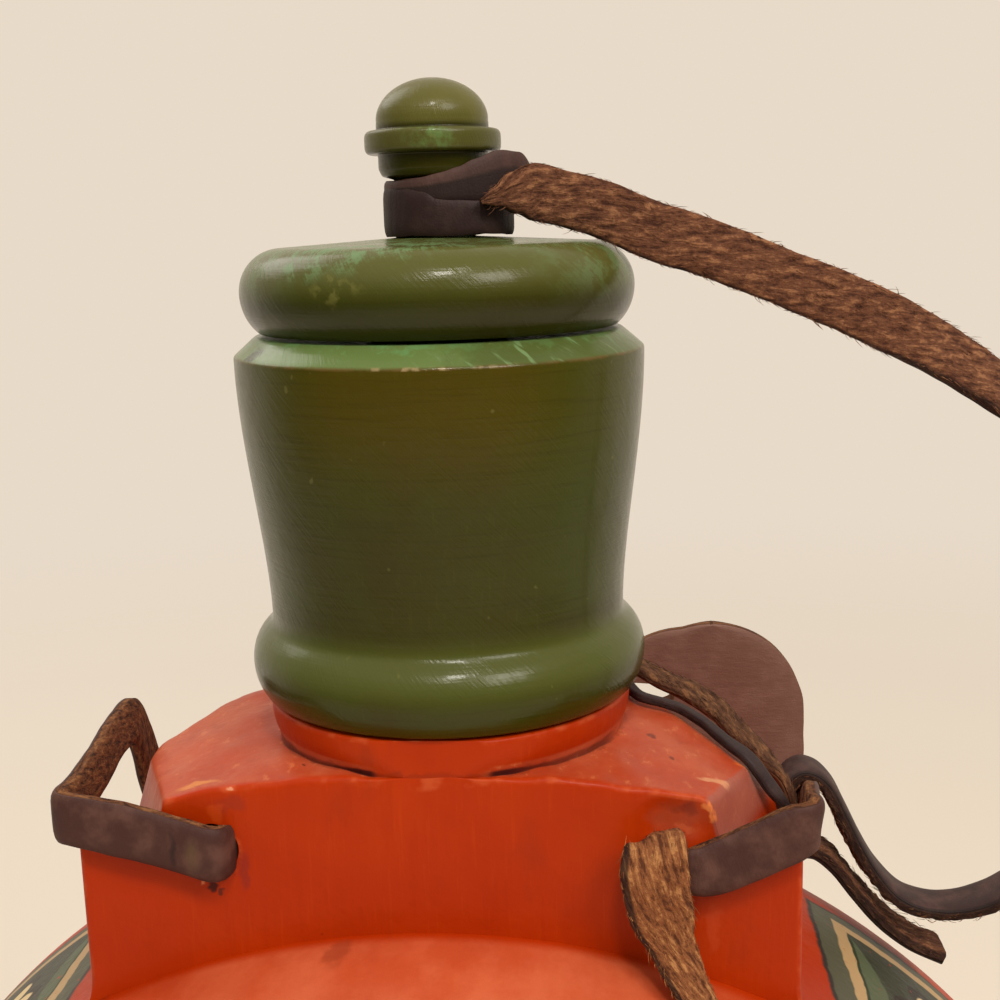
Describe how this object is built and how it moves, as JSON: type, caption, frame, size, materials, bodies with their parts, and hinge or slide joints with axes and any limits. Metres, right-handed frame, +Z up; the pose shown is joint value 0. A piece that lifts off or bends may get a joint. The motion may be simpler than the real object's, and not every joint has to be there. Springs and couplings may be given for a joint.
{
  "type": "wooden canteen",
  "caption": "Round flat turned wooden canteen with a squared shoulder, tall neck, domed stopper on a leather lanyard, leather laces and a carrying strap; stands on a flat foot.",
  "frame": {"origin": "middle of the foot's flat base, on the neck's axis", "axes": "+Z up along the neck; the front of the canteen faces -Y; +X is to the viewer's right"},
  "size_m": [0.16, 0.0916, 0.2482],
  "materials": {
    "red_wood": "red-orange paint under worn clear varnish",
    "green_wood": "olive green stain under glossy varnish, scuffed at edges",
    "smooth_leather": "dark brown, grain side, satin",
    "suede_leather": "brown, flesh side, fibrous",
    "strap_leather": "brown, grain side, satin"
  },
  "bodies": {
    "canteen": {"body": "red_wood", "back_disc": "red_wood", "neck": "green_wood", "right_lace": "smooth_leather", "left_lace": "smooth_leather", "lace_tail": "suede_leather", "neck_lace": "suede_leather", "under_lace": "smooth_leather", "carrying_strap": "strap_leather", "stopper_lanyard": "suede_leather"},
    "lanyard_loop": {"lanyard_noose": "smooth_leather"},
    "stopper": {"stopper": "green_wood"}
  },
  "joints": [
    {"name": "stopper_pull", "type": "slide", "parent": "canteen", "child": "lanyard_loop", "axis": [0, 0, 1], "range_m": [0, 0.032], "deforming": ["stopper_lanyard"]},
    {"name": "stopper_turn", "type": "hinge", "parent": "lanyard_loop", "child": "stopper", "pos_m": [0, 0, 0.23], "axis": [0, 0, 1], "continuous": true}
  ]
}
